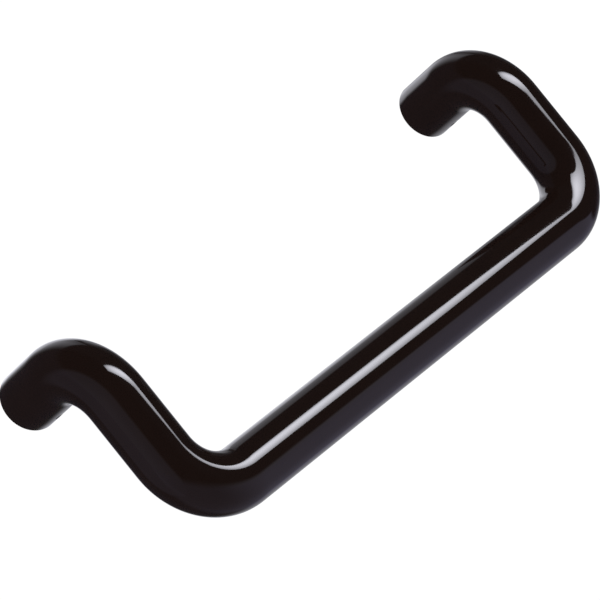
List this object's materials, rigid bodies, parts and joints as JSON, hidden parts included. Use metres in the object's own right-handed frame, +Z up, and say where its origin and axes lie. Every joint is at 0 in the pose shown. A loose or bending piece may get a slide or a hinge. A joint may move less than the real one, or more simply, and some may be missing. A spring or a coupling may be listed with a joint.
{
  "type": "door pull handle",
  "caption": "Cranked round-bar door pull handle: a gloss black moulded bar offset sideways from its feet, clamped to door studs by a grub screw in each foot.",
  "frame": {"origin": "on the door face, midway between the axes of the two feet", "axes": "+Z up along the grip, +Y into the door so that the user stands on the -Y side, -X towards the side that the grip is cranked to"},
  "size_m": [0.134, 0.077, 0.384],
  "materials": {
    "gloss_black_nylon": "high gloss, moulded",
    "turned_steel": "turned, fine lathe rings",
    "blackened_steel": "black oxide"
  },
  "bodies": {
    "root": {"handle_bar": "gloss_black_nylon", "upper_fixing_bush": "turned_steel", "lower_fixing_bush": "turned_steel", "grub_screws": "blackened_steel"}
  },
  "joints": []
}
